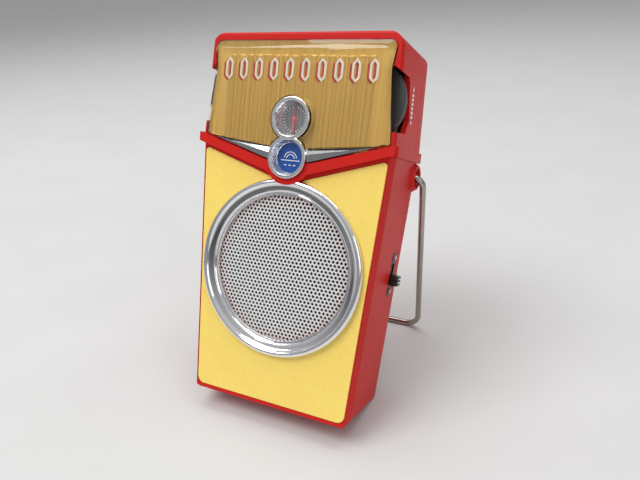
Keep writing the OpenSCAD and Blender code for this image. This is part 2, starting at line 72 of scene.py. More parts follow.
# Camera, as the radio is seen: upright millimetres from the middle of the underside's front edge
camera = {"place": (88.8, -166.8, 83.1), "ahead": (-0.4044, 0.9078, -0.1113),
          "up": (-0.1425, 0.0576, 0.9881), "lens": 30.74}
cameraData = bpy.data.cameras.new("camera")
cameraData.lens = camera["lens"]
cameraData.clip_start = 0.01
cameraObject = bpy.data.objects.new("camera", cameraData)
bpy.context.collection.objects.link(cameraObject)
cameraBack = -(tilt.to_3x3() @ Vector(camera["ahead"])).normalized()
cameraRight = (tilt.to_3x3() @ Vector(camera["up"])).cross(cameraBack).normalized()
cameraTurn = Matrix((cameraRight, cameraBack.cross(cameraRight), cameraBack)).transposed().to_4x4()
cameraObject.matrix_world = Matrix.Translation(toPlace(*camera["place"])) @ cameraTurn
bpy.context.scene.camera = cameraObject


# Sizes that both the finishes and the pieces use
ring = {"outer": 7.2, "inner": 5.95, "lobe": 9.2, "dialZ": 102, "badgeZ": 89, "front": -3.0}
# the speaker's last three sizes place the painted reflections on the grille and the bezel
speaker = {"z": 50.5, "outer": 31.3, "inner": 25.6, "front": -1.9, "pitch": 1.5, "hole": 0.54,
           "grilleFront": 1.2, "grilleThick": 0.4, "dome": 0.0006, "rowsAcross": 45, "reach": 26.4,
           "reflectionCentreY": 1, "rimReflectionReach": 26, "coneReach": 29.1}
ribs = {"count": 16, "pitch": 3.45, "radius": 1.6, "squash": 0.13, "low": 92.3, "high": 122.4, "front": 0.9,
        "shadeAbove": 0.8}


# Materials

class Finish:
    # builds one material; its patterns are laid out in the radio's own upright millimetres
    def __init__(self, name, color, roughness, metallic=0.0):
        self.material = bpy.data.materials.new(name)
        self.material.use_nodes = True
        self.nodes = self.material.node_tree.nodes
        self.links = self.material.node_tree.links
        self.shader = self.nodes["Principled BSDF"]
        self.set("Base Color", (*color, 1))
        self.set("Roughness", roughness)
        self.set("Metallic", metallic)
        coordinates = self.nodes.new("ShaderNodeTexCoord")
        mapping = self.nodes.new("ShaderNodeMapping")
        mapping.inputs["Scale"].default_value = (1000, 1000, 1000)
        mapping.inputs["Rotation"].default_value = (lean, 0, 0)
        mapping.inputs["Location"].default_value = toUpright((0, 0, 0))
        self.links.new(coordinates.outputs["Object"], mapping.inputs["Vector"])
        self.place = mapping.outputs["Vector"]
        self.color = color
        self.normal = None

    def set(self, socket, value):
        self.shader.inputs[socket].default_value = value
        return self

    def stretch(self, scale):
        node = self.nodes.new("ShaderNodeVectorMath")
        node.operation = "MULTIPLY"
        node.inputs[1].default_value = scale
        self.links.new(self.place, node.inputs[0])
        return node.outputs[0]

    def noise(self, scale, detail=3.0, stretch=(1, 1, 1), distortion=0.0):
        node = self.nodes.new("ShaderNodeTexNoise")
        node.inputs["Scale"].default_value = scale
        node.inputs["Detail"].default_value = detail
        node.inputs["Distortion"].default_value = distortion
        self.links.new(self.stretch(stretch), node.inputs["Vector"])
        return node.outputs["Fac"]

    def calc(self, operation, *values):
        node = self.nodes.new("ShaderNodeMath")
        node.operation = operation
        for socket, value in zip(node.inputs, values):
            if isinstance(value, (int, float)):
                socket.default_value = value
            else:
                self.links.new(value, socket)
        return node.outputs[0]

    def share(self, centre, reach):
        # distance from centre, as a share of reach
        node = self.nodes.new("ShaderNodeVectorMath")
        node.operation = "DISTANCE"
        node.inputs[1].default_value = centre
        self.links.new(self.place, node.inputs[0])
        return self.calc("DIVIDE", node.outputs["Value"], reach)

    def ramp(self, value, stops):
        node = self.nodes.new("ShaderNodeValToRGB")
        points = node.color_ramp.elements
        while len(points) < len(stops):
            points.new(0.5)
        for point, (at, color) in zip(points, stops):
            point.position = at
            point.color = (*color, 1) if len(color) == 3 else color
        self.links.new(value, node.inputs["Fac"])
        return node.outputs["Color"]

    def shades(self, value, low, high, start=0.3, end=0.7):
        # colour that varies with value, from low to high times the finish's own colour
        stops = [(at, tuple(min(1, channel * by) for channel in self.color)) for at, by in ((start, low), (end, high))]
        self.links.new(self.ramp(value, stops), self.shader.inputs["Base Color"])
        return self

    def gloss(self, value, low, high):
        node = self.nodes.new("ShaderNodeMapRange")
        node.inputs["From Min"].default_value = 0.3
        node.inputs["From Max"].default_value = 0.7
        node.inputs["To Min"].default_value = low
        node.inputs["To Max"].default_value = high
        self.links.new(value, node.inputs["Value"])
        self.links.new(node.outputs["Result"], self.shader.inputs["Roughness"])
        return self

    def bump(self, height, depth, strength=1.0):
        node = self.nodes.new("ShaderNodeBump")
        node.inputs["Strength"].default_value = strength
        node.inputs["Distance"].default_value = depth / 1000
        self.links.new(height, node.inputs["Height"])
        if self.normal is not None:
            self.links.new(self.normal, node.inputs["Normal"])
        self.normal = node.outputs["Normal"]
        self.links.new(self.normal, self.shader.inputs["Normal"])
        return self


def moulded(name, color, roughness, coat=0.0, depth=0.004, specular=0.5):
    # moulded plastic: faint flow mottling, fine handling marks and slightly uneven walls
    finish = Finish(name, color, roughness)
    finish.shades(finish.noise(0.05, 3, distortion=0.3), 0.97, 1.03)
    finish.gloss(finish.noise(0.35, 4), roughness * 0.92, roughness * 1.1)
    finish.bump(finish.noise(0.10, 2), 0.012, 0.4)
    finish.bump(finish.noise(0.9, 2), depth, 0.25)
    finish.set("Coat Weight", coat).set("Coat Roughness", 0.08).set("Specular IOR Level", specular)
    return finish.material


def plated(name, color, roughness, wave=0.01, brushed=(1, 1, 1), uneven=0.35):
    # plated or plain metal, with faint waviness and fine wiping marks
    finish = Finish(name, color, roughness, 1.0)
    finish.shades(finish.noise(0.3, 5), 0.93, 1.03)
    finish.gloss(finish.noise(2.0, 6, brushed), roughness * (1 - uneven), roughness * (1 + uneven))
    finish.bump(finish.noise(0.35, 2), wave, 0.5)
    return finish.material


def thinLens(name):
    # a thin clear dome that lets the light straight through
    finish = Finish(name, (0.9, 0.9, 0.9), 0.05)
    finish.gloss(finish.noise(1.2, 4), 0.03, 0.08)
    finish.bump(finish.noise(0.3, 2), 0.01, 0.3)
    finish.set("Alpha", 0.05)
    return finish.material


def clearPlastic(name, color, roughness):
    # clear acrylic, with fine polishing marks
    finish = Finish(name, color, roughness)
    finish.set("Transmission Weight", 1.0).set("IOR", 1.49)
    finish.gloss(finish.noise(1.2, 5), roughness * 0.5, roughness * 1.5)
    finish.bump(finish.noise(0.2, 2), 0.01, 0.4)
    return finish.material


def goldFoil(pitch, ribsWide, ribsTop):
    # satin gold with upright streaks; a painted highlight along each valley between ribs and painted shade beside it
    finish = Finish("gold_foil", (1.0, 0.64, 0.19), 0.42, 0.35)
    streaks = finish.ramp(finish.noise(1.0, 3, (1.1, 0.2, 0.012)),
                          [(0.34, (0.96, 0.61, 0.15)), (0.5, (1.0, 0.66, 0.17)), (0.64, (1.0, 0.74, 0.22))])
    split = finish.nodes.new("ShaderNodeSeparateXYZ")
    finish.links.new(finish.place, split.inputs[0])
    phase = finish.calc("FRACT", finish.calc("DIVIDE", split.outputs["X"], pitch))
    # rib-by-rib colour: painted highlights in the valleys, painted shade beside them, mid tone on the rib tops
    ribLightLevels = [(0.0, 0.95), (0.08, 1.0), (0.16, 0.70), (0.28, 0.83), (0.5, 0.90), (0.72, 0.83), (0.84, 0.70),
              (0.92, 1.0), (1.0, 0.95)]
    shade = finish.ramp(phase, [(at, (level, level * 0.98, level * 0.94)) for at, level in ribLightLevels])
    acrossRibs = finish.calc("LESS_THAN", finish.calc("ABSOLUTE", split.outputs["X"]), ribsWide / 2)
    onRibs = finish.calc("MULTIPLY", acrossRibs, finish.calc("LESS_THAN", split.outputs["Z"], ribsTop))
    blend = finish.nodes.new("ShaderNodeMixRGB")
    blend.blend_type = "MULTIPLY"
    finish.links.new(onRibs, blend.inputs[0])
    finish.links.new(streaks, blend.inputs[1])
    finish.links.new(shade, blend.inputs[2])
    finish.links.new(blend.outputs[0], finish.shader.inputs["Base Color"])
    finish.gloss(finish.noise(1.5, 4, (2, 1, 0.05)), 0.36, 0.50)
    finish.bump(finish.noise(1.0, 3, (2, 1, 0.02)), 0.03, 0.5)
    return finish.material


def silverMesh(centre, reach):
    # painted metal sheet whose colour turns reddish towards its rim: a painted reflection
    finish = Finish("silver_mesh", (0.88, 0.88, 0.88), 0.38, 0.35)
    rimReflection = finish.ramp(finish.share(centre, reach),
                       [(0.76, (0.93, 0.93, 0.93)), (0.90, (0.92, 0.87, 0.86)), (1.0, (0.89, 0.75, 0.73))])
    finish.links.new(rimReflection, finish.shader.inputs["Base Color"])
    finish.gloss(finish.noise(1.0, 4), 0.3, 0.46)
    finish.bump(finish.noise(4.0, 3), 0.01, 0.5)
    return finish.material


def crinkledChrome():
    # bright inner walls of the rings, beaten so that they sparkle
    finish = Finish("crinkled_chrome", (0.86, 0.86, 0.88), 0.09, 1.0)
    finish.shades(finish.noise(1.1, 4), 0.72, 1.05)
    finish.gloss(finish.noise(1.5, 3), 0.05, 0.14)
    finish.bump(finish.noise(0.9, 3, distortion=0.6), 0.35, 0.9)
    return finish.material


def bezelPaintedReflection(centre, coneRadius):
    # chrome with a painted reflection: darker at the top of the ring's inner cone and brightest at its foot
    finish = Finish("bezel_chrome_painted_reflection", (0.86, 0.86, 0.88), 0.07, 1.0)
    split = finish.nodes.new("ShaderNodeSeparateXYZ")
    finish.links.new(finish.place, split.inputs[0])
    part = finish.nodes.new("ShaderNodeMapRange")
    part.inputs["From Min"].default_value = centre[2] - coneRadius
    part.inputs["From Max"].default_value = centre[2] + coneRadius
    finish.links.new(split.outputs["Z"], part.inputs["Value"])
    # colour by height on the cone: a painted reflection, bright at the foot and dark at the top
    cone = finish.ramp(part.outputs["Result"], [(0.0, (0.85, 0.85, 0.88)), (0.22, (0.70, 0.70, 0.73)),
                                                (0.5, (0.34, 0.34, 0.36)), (0.85, (0.16, 0.16, 0.17))])
    # mask: plain chrome on the step ring and the outer rim, painted reflection on the cone between
    bright, paintedZone = (1, 1, 1), (0, 0, 0)
    rim = finish.ramp(finish.share(centre, coneRadius), [(0.93, bright), (0.94, paintedZone), (0.985, paintedZone), (1.0, bright)])
    blend = finish.nodes.new("ShaderNodeMixRGB")
    finish.links.new(rim, blend.inputs[0])
    finish.links.new(cone, blend.inputs[1])
    blend.inputs[2].default_value = (0.86, 0.86, 0.88, 1)
    finish.links.new(blend.outputs[0], finish.shader.inputs["Base Color"])
    finish.gloss(finish.noise(2.0, 5), 0.05, 0.09)
    finish.bump(finish.noise(0.3, 2), 0.01, 0.4)
    return finish.material


def glowingWhite():
    # white paint with a faint painted glow, so that it stays bright under the cover
    finish = Finish("link_white_glowing", (0.95, 0.94, 0.92), 0.3)
    finish.shades(finish.noise(0.8, 3), 0.97, 1.03)
    finish.gloss(finish.noise(1.5, 3), 0.26, 0.36)
    finish.bump(finish.noise(1.5, 3), 0.01, 0.4)
    # a faint glow painted in: emission keeps the links bright under the clear cover
    finish.set("Emission Color", (1, 0.98, 0.96, 1)).set("Emission Strength", 0.22)
    return finish.material


def brushedDial():
    finish = Finish("brushed_dial", (0.17, 0.17, 0.18), 0.34, 0.5)
    finish.shades(finish.noise(2.0, 5, (1.5, 1, 0.1)), 0.65, 1.3)
    finish.gloss(finish.noise(3.0, 5, (2, 1, 0.1)), 0.2, 0.4)
    finish.bump(finish.noise(3.0, 4, (2, 1, 0.1)), 0.02, 0.6)
    return finish.material


def deepEnamel(name, color, roughness=0.12):
    finish = Finish(name, color, roughness)
    finish.shades(finish.noise(0.4, 3), 0.8, 1.25)
    finish.gloss(finish.noise(2.0, 4), roughness * 0.8, roughness * 1.4)
    finish.bump(finish.noise(0.8, 2), 0.01, 0.4)
    finish.set("Coat Weight", 0.6).set("Coat Roughness", 0.04)
    return finish.material


def woven(name, color, scale):
    finish = Finish(name, color, 0.85)
    finish.shades(finish.noise(scale, 6), 0.7, 1.3)
    finish.bump(finish.noise(scale * 2, 5), 0.08, 0.8)
    finish.set("Sheen Weight", 0.2)
    return finish.material


# centre used by the painted reflections on the grille and the bezel
speakerCentre = (0, speaker["reflectionCentreY"], speaker["z"])
finishes = {
    "red_plastic": moulded("red_plastic", (0.60, 0.018, 0.014), 0.36, specular=0.13),
    "yellow_plastic": moulded("yellow_plastic", (1.0, 0.73, 0.16), 0.28, coat=0.15, depth=0.002),
    "chrome": plated("chrome", (0.86, 0.86, 0.88), 0.07),
    "silver_mesh": silverMesh(speakerCentre, speaker["rimReflectionReach"]),
    "clear_plastic": clearPlastic("clear_plastic", (1.0, 0.95, 0.84), 0.03),
    "gold_foil": goldFoil(ribs["pitch"], ribs["count"] * ribs["pitch"], ribs["high"] + ribs["shadeAbove"]),
    "white_paint": moulded("white_paint", (0.90, 0.89, 0.87), 0.3, coat=0.3, depth=0.01),
    "dial_silver": brushedDial(),
    "blue_enamel": deepEnamel("blue_enamel", (0.010, 0.075, 0.34)),
    "red_enamel": deepEnamel("red_enamel", (0.70, 0.03, 0.03), 0.3),
    "lens_plastic": thinLens("lens_plastic"),
    "wheel_plastic": moulded("wheel_plastic", (0.045, 0.049, 0.052), 0.36, depth=0.01),
    "black_plastic": moulded("black_plastic", (0.012, 0.012, 0.013), 0.35, depth=0.012),
    "cone_paper": woven("cone_paper", (0.012, 0.012, 0.012), 1.5),
    "frame_steel": plated("frame_steel", (0.20, 0.20, 0.21), 0.4),
    "plain_steel": plated("plain_steel", (0.62, 0.61, 0.59), 0.28, brushed=(3, 1, 0.3)),
    "nickel_wire": plated("nickel_wire", (0.40, 0.37, 0.33), 0.26, brushed=(2, 2, 0.2), uneven=0.5),
    "board_laminate": moulded("board_laminate", (0.22, 0.10, 0.03), 0.5, depth=0.02),
    "ivory_plastic": moulded("ivory_plastic", (0.75, 0.66, 0.44), 0.4),
    "brown_resin": moulded("brown_resin", (0.18, 0.07, 0.025), 0.4),
    "ferrite": moulded("ferrite", (0.05, 0.05, 0.05), 0.6, depth=0.03),
    "copper_wire": plated("copper_wire", (0.55, 0.22, 0.08), 0.35, brushed=(6, 1, 0.3)),
    "blue_sleeve": moulded("blue_sleeve", (0.04, 0.12, 0.34), 0.3),
    "cell_jacket": moulded("cell_jacket", (0.03, 0.07, 0.06), 0.3, coat=0.3),
    "contact_brass": plated("contact_brass", (0.70, 0.50, 0.20), 0.3),
    "cord_thread": woven("cord_thread", (0.40, 0.34, 0.22), 4.0),
}
crinkled = crinkledChrome()
glowingLinkWhite = glowingWhite()
# dark copy of chrome for the wings' lower facets: a painted reflection of dark surroundings
paintedDarkChrome = plated("chrome_painted_dark_reflection", (0.20, 0.20, 0.21), 0.12)
# the bezel's chrome carries a painted reflection on its cone
bezelReflectionChrome = bezelPaintedReflection(speakerCentre, speaker["coneReach"])
slots = {entry["node"]: entry["material_slot"] for entry in record["subparts"]}
for entry in record["subparts"]:
    node = frame["nodes"][entry["node"]]
    node.data.materials.clear()
    node.data.materials.append(finishes[entry["material_slot"]])
print("finishes made")


# Ways of making pieces

def newObject(name, mesh, material):
    piece = bpy.data.objects.new(name, mesh)
    bpy.context.collection.objects.link(piece)
    mesh.materials.clear()
    mesh.materials.append(material)
    return piece


def smooth(mesh, angle=35):
    mesh.shade_smooth()
    mesh.set_sharp_from_angle(angle=math.radians(angle))


def settle(piece):
    # applies a piece's modifiers, leaving a plain mesh
    graph = bpy.context.evaluated_depsgraph_get()
    mesh = bpy.data.meshes.new_from_object(piece.evaluated_get(graph), depsgraph=graph)
    piece.modifiers.clear()
    piece.data = mesh
    return piece


def finishPiece(piece, body, replaced=()):
    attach(piece, body)
    if replaced:
        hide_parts(*replaced)
    return piece


def fromBmesh(name, shape, material, placed=False, angle=35, outward=True):
    # a piece from a bmesh in upright millimetres
    bmesh.ops.remove_doubles(shape, verts=shape.verts, dist=1e-4)
    if outward:
        bmesh.ops.recalc_face_normals(shape, faces=shape.faces)
    mesh = bpy.data.meshes.new(name)
    shape.to_mesh(mesh)
    shape.free()
    if not placed:
        mesh.transform(fromMm)
    smooth(mesh, angle)
    return newObject(name, mesh, material)


def softened(name, nodeName, width, segments=3, angle=30, material=None):
    # a copy of a CAD node's mesh with its edges rounded
    source = frame["nodes"][nodeName]
    shape = bmesh.new()
    shape.from_mesh(source.data)
    bmesh.ops.remove_doubles(shape, verts=shape.verts, dist=1e-6)
    bmesh.ops.dissolve_limit(shape, angle_limit=math.radians(1.0), verts=shape.verts, edges=shape.edges)
    mesh = bpy.data.meshes.new(name)
    shape.to_mesh(mesh)
    shape.free()
    mesh.shade_smooth()
    piece = newObject(name, mesh, material or source.data.materials[0])
    bevel = piece.modifiers.new("round", "BEVEL")
    bevel.width = width / 1000
    bevel.segments = segments
    bevel.limit_method = "ANGLE"
    bevel.angle_limit = math.radians(angle)
    bevel.miter_outer = "MITER_ARC"
    settle(piece)
    smooth(piece.data, 40)
    weigh = piece.modifiers.new("weigh", "WEIGHTED_NORMAL")
    weigh.keep_sharp = True
    settle(piece)
    return piece


def turned(name, profile, centre, material, segments=160, angle=32):
    # a ring or disc turned about an axis along Y: profile is a closed loop of (radius, depth)
    shape = bmesh.new()
    rings = []
    for step in range(segments):
        turn = 2 * math.pi * step / segments
        rings.append([shape.verts.new((centre[0] + radius * math.cos(turn), depth, centre[1] + radius * math.sin(turn)))
                      for radius, depth in profile])
    count = len(profile)
    for step in range(segments):
        here, there = rings[step], rings[(step + 1) % segments]
        for i in range(count):
            k = (i + 1) % count
            if profile[i][0] < 1e-6 and profile[k][0] < 1e-6:
                continue
            shape.faces.new((here[i], here[k], there[k], there[i]))
    bmesh.ops.remove_doubles(shape, verts=shape.verts, dist=1e-4)
    bmesh.ops.dissolve_degenerate(shape, edges=shape.edges, dist=1e-5)
    return fromBmesh(name, shape, material, angle=angle)


def arcPoints(centre, radius, start, end, steps):
    # points of an arc, angles in degrees
    return [(centre[0] + radius * math.cos(math.radians(start + (end - start) * i / steps)),
             centre[1] + radius * math.sin(math.radians(start + (end - start) * i / steps))) for i in range(steps + 1)]


def roundCorners(points, radii, steps=6):
    # an outline with each corner rounded to its own radius
    outline = []
    for i, point in enumerate(points):
        if radii[i] == 0:
            outline.append(point)
            continue
        here = Vector(point)
        before = (Vector(points[i - 1]) - here).normalized()
        after = (Vector(points[(i + 1) % len(points)]) - here).normalized()
        half = before.angle(after) / 2
        middle = here + (before + after).normalized() * radii[i] / math.sin(half)
        start = here + before * radii[i] / math.tan(half) - middle
        end = here + after * radii[i] / math.tan(half) - middle
        first = math.degrees(math.atan2(start.y, start.x))
        turn = (math.degrees(math.atan2(end.y, end.x)) - first + 180) % 360 - 180
        outline += arcPoints(middle, radii[i], first, first + turn, steps)
    return outline


def lofted(name, layers, material, angle=32):
    # a solid through outlines with equal numbers of points: layers are (outline, depth), front to back
    shape = bmesh.new()
    rings = [[shape.verts.new((x, depth, z)) for x, z in outline] for outline, depth in layers]
    count = len(rings[0])
    for near, far in zip(rings, rings[1:]):
        for i in range(count):
            k = (i + 1) % count
            shape.faces.new((near[i], near[k], far[k], far[i]))
    shape.faces.new(rings[0])
    shape.faces.new(rings[-1])
    return fromBmesh(name, shape, material, angle=angle)


def carved(piece, cutters, angle=32):
    # takes the cutters' solids out of a piece
    for cutter in cutters:
        modifier = piece.modifiers.new("carve", "BOOLEAN")
        modifier.operation = "DIFFERENCE"
        modifier.solver = "EXACT"
        modifier.object = cutter
    settle(piece)
    for cutter in cutters:
        bpy.data.objects.remove(cutter)
    smooth(piece.data, angle)
    return piece


def plug(radius, front, deep, centre):
    # a round bar along Y, for carving
    return turned("plug", [(0, front), (radius, front), (radius, deep), (0, deep)], centre, finishes["chrome"], 96)


def bar(shape, centre, size):
    # adds a plain block to a bmesh
    place = Matrix.Translation(centre) @ Matrix.Diagonal((*size, 1))
    bmesh.ops.create_cube(shape, size=1, matrix=place)


# Geometry Nodes that repeat one unit: along a line, round a centre, or over a disc in rows

def repeatTree(name, kind):
    tree = bpy.data.node_groups.new(name, "GeometryNodeTree")
    face = tree.interface
    face.new_socket("Unit", in_out="INPUT", socket_type="NodeSocketGeometry")
    count = face.new_socket("Count", in_out="INPUT", socket_type="NodeSocketInt")
    count.default_value = 2
    if kind == "line":
        face.new_socket("Step", in_out="INPUT", socket_type="NodeSocketVector")
    if kind == "rows":
        face.new_socket("Pitch", in_out="INPUT", socket_type="NodeSocketFloat")
        face.new_socket("Reach", in_out="INPUT", socket_type="NodeSocketFloat")
        face.new_socket("Dome", in_out="INPUT", socket_type="NodeSocketFloat")
    face.new_socket("Material", in_out="INPUT", socket_type="NodeSocketMaterial")
    face.new_socket("Result", in_out="OUTPUT", socket_type="NodeSocketGeometry")
    add = tree.nodes.new
    link = tree.links.new
    inputs = add("NodeGroupInput")
    outputs = add("NodeGroupOutput")

    def maths(operation, a, b=None):
        node = add("ShaderNodeMath")
        node.operation = operation
        for socket, value in zip(node.inputs, (a, b)):
            if isinstance(value, (int, float)):
                socket.default_value = value
            elif value is not None:
                link(value, socket)
        return node.outputs[0]

    place = add("GeometryNodeInstanceOnPoints")
    link(inputs.outputs["Unit"], place.inputs["Instance"])
    if kind == "rows":
        # a square grid of numbers, each turned into a place in a close-packed row
        grid = add("GeometryNodeMeshGrid")
        span = maths("SUBTRACT", inputs.outputs["Count"], 1)
        for socket in ("Size X", "Size Y"):
            link(span, grid.inputs[socket])
        for socket in ("Vertices X", "Vertices Y"):
            link(inputs.outputs["Count"], grid.inputs[socket])
        at = add("ShaderNodeSeparateXYZ")
        link(add("GeometryNodeInputPosition").outputs[0], at.inputs[0])
        row = maths("ROUND", at.outputs["Y"])
        shift = maths("MULTIPLY", maths("MODULO", maths("ABSOLUTE", row), 2), 0.5)
        x = maths("MULTIPLY", maths("ADD", maths("ROUND", at.outputs["X"]), shift), inputs.outputs["Pitch"])
        z = maths("MULTIPLY", maths("MULTIPLY", row, math.sqrt(3) / 2), inputs.outputs["Pitch"])
        square = maths("ADD", maths("MULTIPLY", x, x), maths("MULTIPLY", z, z))
        away = maths("SQRT", square)
        y = maths("MULTIPLY", square, inputs.outputs["Dome"])
        spot = add("ShaderNodeCombineXYZ")
        for socket, value in zip(("X", "Y", "Z"), (x, y, z)):
            link(value, spot.inputs[socket])
        move = add("GeometryNodeSetPosition")
        link(grid.outputs["Mesh"], move.inputs["Geometry"])
        link(spot.outputs[0], move.inputs["Position"])
        trim = add("GeometryNodeDeleteGeometry")
        trim.domain = "POINT"
        link(move.outputs[0], trim.inputs["Geometry"])
        # distance is measured again on the moved points
        moved = add("ShaderNodeSeparateXYZ")
        link(add("GeometryNodeInputPosition").outputs[0], moved.inputs[0])
        beyond = maths("ADD", maths("MULTIPLY", moved.outputs["X"], moved.outputs["X"]),
                       maths("MULTIPLY", moved.outputs["Z"], moved.outputs["Z"]))
        link(maths("GREATER_THAN", maths("SQRT", beyond), inputs.outputs["Reach"]), trim.inputs["Selection"])
        link(trim.outputs[0], place.inputs["Points"])
    else:
        line = add("GeometryNodeMeshLine")
        link(inputs.outputs["Count"], line.inputs["Count"])
        if kind == "line":
            link(inputs.outputs["Step"], line.inputs["Offset"])
        else:
            line.inputs["Offset"].default_value = (0, 0, 0)
            turn = add("ShaderNodeCombineXYZ")
            part = maths("DIVIDE", 2 * math.pi, inputs.outputs["Count"])
            link(maths("MULTIPLY", add("GeometryNodeInputIndex").outputs[0], part), turn.inputs["Y"])
            link(turn.outputs[0], place.inputs["Rotation"])
        link(line.outputs[0], place.inputs["Points"])
    real = add("GeometryNodeRealizeInstances")
    link(place.outputs[0], real.inputs[0])
    paint = add("GeometryNodeSetMaterial")
    link(real.outputs[0], paint.inputs["Geometry"])
    link(inputs.outputs["Material"], paint.inputs["Material"])
    link(paint.outputs[0], outputs.inputs[0])
    return tree


lineTree = repeatTree("repeat_in_a_line", "line")
ringTree = repeatTree("repeat_round_a_centre", "ring")
rowsTree = repeatTree("repeat_in_close_rows", "rows")


def repeated(piece, tree, values, shift=(0, 0, 0), weld=False, angle=35):
    # repeats a unit drawn in upright millimetres about the origin, then puts the result in place
    modifier = piece.modifiers.new("repeat", "NODES")
    modifier.node_group = tree
    values = dict(values, Material=piece.data.materials[0])
    for item in tree.interface.items_tree:
        if item.in_out == "INPUT" and item.name in values:
            modifier[item.identifier] = values[item.name]
    settle(piece)
    mesh = piece.data
    if weld:
        shape = bmesh.new()
        shape.from_mesh(mesh)
        bmesh.ops.remove_doubles(shape, verts=shape.verts, dist=1e-3)
        shape.to_mesh(mesh)
        shape.free()
    mesh.transform(fromMm @ Matrix.Translation(shift))
    smooth(mesh, angle)
    return piece


def unitPiece(name, shape, material):
    # a unit for repeating: a bmesh in upright millimetres about the origin, not yet placed
    return fromBmesh(name, shape, material, placed=True)


def joined(name, parts):
    # one mesh from several plain pieces that share a material
    shape = bmesh.new()
    for part in parts:
        shape.from_mesh(part.data)
    mesh = bpy.data.meshes.new(name)
    material = parts[0].data.materials[0]
    shape.to_mesh(mesh)
    shape.free()
    for part in parts:
        bpy.data.objects.remove(part)
    smooth(mesh)
    return newObject(name, mesh, material)


# Case mouldings

case = {"edge": 0.35, "segments": 3, "doorEdge": 0.4}
frontShell = softened("front_shell", "front_case", case["edge"], case["segments"])
finishPiece(frontShell, "case", ["front_case"])
backShell = softened("back_shell", "back_case", case["edge"], case["segments"])
finishPiece(backShell, "case", ["back_case"])
doorShell = softened("door_shell", "battery_door", case["doorEdge"], case["segments"])
finishPiece(doorShell, "door", ["battery_door"])
print("case mouldings made")


# Yellow front panel
panel = {"edge": 0.35, "segments": 3}
panelPiece = softened("yellow_panel", "front_panel", panel["edge"], panel["segments"],
                      material=finishes["yellow_plastic"])
finishPiece(panelPiece, "case", ["front_panel"])


# Loudspeaker bezel and grille


def bezelProfile():
    outer, front, inner = speaker["outer"], speaker["front"], speaker["inner"]
    bead = arcPoints((outer - 1.2, front + 1.2), 1.2, 0, -150, 16)
    cone = arcPoints((outer - 1.0, front + 8.2), 7.4, -106, -119, 8)
    step = arcPoints((inner + 1.55, -0.1), 0.4, -20, -190, 8)
    lip = [(inner + 0.85, 0.35), (inner + 0.7, 0.2), (inner + 0.35, 0.2), (inner + 0.15, 0.6),
           (inner, 0.95), (inner, 1.15)]
    backs = [(outer - 4.9, 1.15), (outer - 4.9, 1.44), (outer - 1.7, 1.44), (outer - 1.7, 0.12), (outer, 0.12)]
    return bead + cone + step + lip + backs


bezel = turned("speaker_ring", bezelProfile(), (0, speaker["z"]), bezelReflectionChrome, 240)
carved(bezel, [plug(ring["lobe"] + 0.08, -6, 6, (0, ring["badgeZ"]))])
finishPiece(bezel, "case", ["speaker_bezel"])


def grilleCell():
    # one six-sided cell of sheet with a round hole through it
    shape = bmesh.new()
    corner = speaker["pitch"] / math.sqrt(3)
    half = speaker["grilleThick"]
    sides = 12
    rims = []
    for depth in (0, half):
        outerRing, innerRing = [], []
        for i in range(sides):
            turn = math.pi * (2 * i / sides + 0.5)
            reach = corner if i % 2 == 0 else corner * math.cos(math.pi / 6)
            outerRing.append(shape.verts.new((reach * math.cos(turn), depth, reach * math.sin(turn))))
            hole = speaker["hole"]
            innerRing.append(shape.verts.new((hole * math.cos(turn), depth, hole * math.sin(turn))))
        rims.append((outerRing, innerRing))
    for i in range(sides):
        k = (i + 1) % sides
        (frontOut, frontIn), (backOut, backIn) = rims
        shape.faces.new((frontOut[i], frontIn[i], frontIn[k], frontOut[k]))
        shape.faces.new((backOut[i], backOut[k], backIn[k], backIn[i]))
        shape.faces.new((frontIn[i], backIn[i], backIn[k], frontIn[k]))
    return shape


grilleUnit = fromBmesh("speaker_mesh", grilleCell(), finishes["silver_mesh"], placed=True, outward=False)
grille = repeated(grilleUnit, rowsTree,
                  {"Count": speaker["rowsAcross"], "Pitch": speaker["pitch"], "Reach": speaker["reach"],
                   "Dome": speaker["dome"]},
                  (0, speaker["grilleFront"], speaker["z"]), weld=True)
finishPiece(grille, "case", ["speaker_grille"])
print("loudspeaker made")


# Gold plate with upright ribs, under the clear cover
head = {"bottom": 35.1, "bottomZ": 95.7, "wing": 31, "wingZ": 94.8, "pointZ": 92.0, "neck": 32.8, "neckZ": 119,
        "top": 34, "topZ": 128.1, "sideBevel": 1.3, "topBevel": 3.1, "front": -2.2, "back": 0.2}


def headOutline(side=0.0, top=0.0):
    half = [(head["wing"], head["wingZ"]), (head["bottom"] - side, head["bottomZ"]),
            (head["neck"] - side, head["neckZ"]), (head["top"] - side, head["topZ"] - top)]
    corners = [(0, head["pointZ"])] + half + [(-x, z) for x, z in reversed(half)]
    return roundCorners(corners, [0, 0, 0.6, 2.5, 2.2, 2.2, 2.5, 0.6, 0], 8)


def ribUnit():
    # a shallow rounded rib with a domed top, lying against the plate
    shape = bmesh.new()
    sides, crown = 12, 6
    rings = []
    for level in range(crown + 2):
        turn = math.radians(78) * max(0, level - 1) / crown
        lift, shrink = math.sin(turn), math.cos(turn)
        z = ribs["low"] if level == 0 else ribs["high"] + ribs["radius"] * 0.6 * lift
        rings.append([shape.verts.new((ribs["radius"] * shrink * math.cos(math.pi * i / sides),
                                       -ribs["radius"] * ribs["squash"] * shrink * math.sin(math.pi * i / sides), z))
                      for i in range(sides + 1)])
    for low, high in zip(rings, rings[1:]):
        for i in range(sides):
            shape.faces.new((low[i], low[i + 1], high[i + 1], high[i]))
        shape.faces.new((low[sides], low[0], high[0], high[sides]))
    shape.faces.new(rings[0])
    shape.faces.new(rings[-1])
    return shape


def ringPlugs(radius, front, deep):
    return [plug(radius, front, deep, (0, ring["dialZ"])), plug(radius, front, deep, (0, ring["badgeZ"]))]


